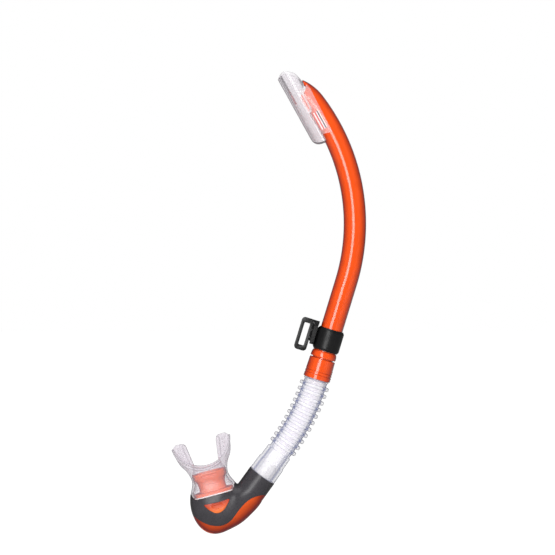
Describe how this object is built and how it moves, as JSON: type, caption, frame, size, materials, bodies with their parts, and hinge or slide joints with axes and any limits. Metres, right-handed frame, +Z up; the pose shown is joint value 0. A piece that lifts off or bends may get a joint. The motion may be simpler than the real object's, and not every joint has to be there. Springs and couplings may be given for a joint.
{
  "type": "snorkel",
  "caption": "Dive snorkel with a hooded bent barrel, sliding strap keeper, swivelling ribbed hose, drain chamber with purge flap, and mouthpiece.",
  "frame": {"origin": "centre of the strap slot, with the keeper at the lower end of its travel", "axes": "+Z up along the snorkel, +X away from the mouthpiece side, +Y through the strap slot"},
  "size_m": [0.1867, 0.0354, 0.4442],
  "materials": {
    "orange_gloss": "glossy moulded plastic",
    "clear_plastic": "clear moulded plastic",
    "black_gloss": "glossy black plastic",
    "black_satin": "satin black plastic",
    "seal_rubber": "black rubber",
    "clear_silicone": "clear silicone",
    "grey_satin": "satin dark grey plastic",
    "orange_satin": "satin orange rubbery plastic"
  },
  "bodies": {
    "barrel": {"barrel": "orange_gloss", "splash_guard": "clear_plastic", "splash_baffle": "clear_plastic", "swivel_seal": "seal_rubber"},
    "keeper_liner": {"keeper_sleeve": "black_satin"},
    "keeper": {"keeper_band": "black_gloss"},
    "loop": {"strap_loop": "black_gloss"},
    "tab": {"release_tab": "black_gloss"},
    "swivel": {"swivel_collar": "orange_gloss", "hose_insert": "clear_plastic", "flex_tube": "clear_silicone"},
    "chamber": {"inlet_bush": "clear_plastic", "chamber_body": "grey_satin", "purge_cover": "orange_satin", "valve_seat": "orange_gloss", "badge_front": "orange_satin", "badge_rear": "orange_satin", "mouth_port": "orange_gloss", "mouthpiece": "clear_silicone"},
    "valve": {"purge_valve": "clear_silicone"}
  },
  "joints": [
    {"name": "keeper_slide", "type": "slide", "parent": "barrel", "child": "keeper_liner", "axis": [0.2924, 0, 0.9563], "range_m": [0, 0.04]},
    {"name": "keeper_turn", "type": "hinge", "parent": "keeper_liner", "child": "keeper", "pos_m": [0.02321, 0, -0.00616], "axis": [0.2924, 0, 0.9563], "continuous": true},
    {"name": "loop_release", "type": "slide", "parent": "keeper", "child": "loop", "axis": [0.2924, 0, 0.9563], "range_m": [0, 0.02]},
    {"name": "tab_press", "type": "hinge", "parent": "loop", "child": "tab", "pos_m": [0.0116, -0.006, 0.00785], "axis": [-0.9563, 0, 0.2924], "range_deg": [0, 10], "stiffness_Nm_per_rad": 0.02},
    {"name": "hose_swivel", "type": "hinge", "parent": "barrel", "child": "swivel", "pos_m": [0.01783, 0, -0.02375], "axis": [0.2924, 0, 0.9563], "continuous": true},
    {"name": "hose_bend", "type": "hinge", "parent": "swivel", "child": "chamber", "pos_m": [-0.00311, 0, -0.08019], "axis": [0, 1, 0], "range_deg": [-20, 50], "stiffness_Nm_per_rad": 0.8, "deforming": ["flex_tube"]},
    {"name": "valve_lift", "type": "slide", "parent": "chamber", "child": "valve", "axis": [-0.3746, 0, -0.9272], "range_m": [0, 0.0016], "stiffness_N_per_m": 60}
  ]
}
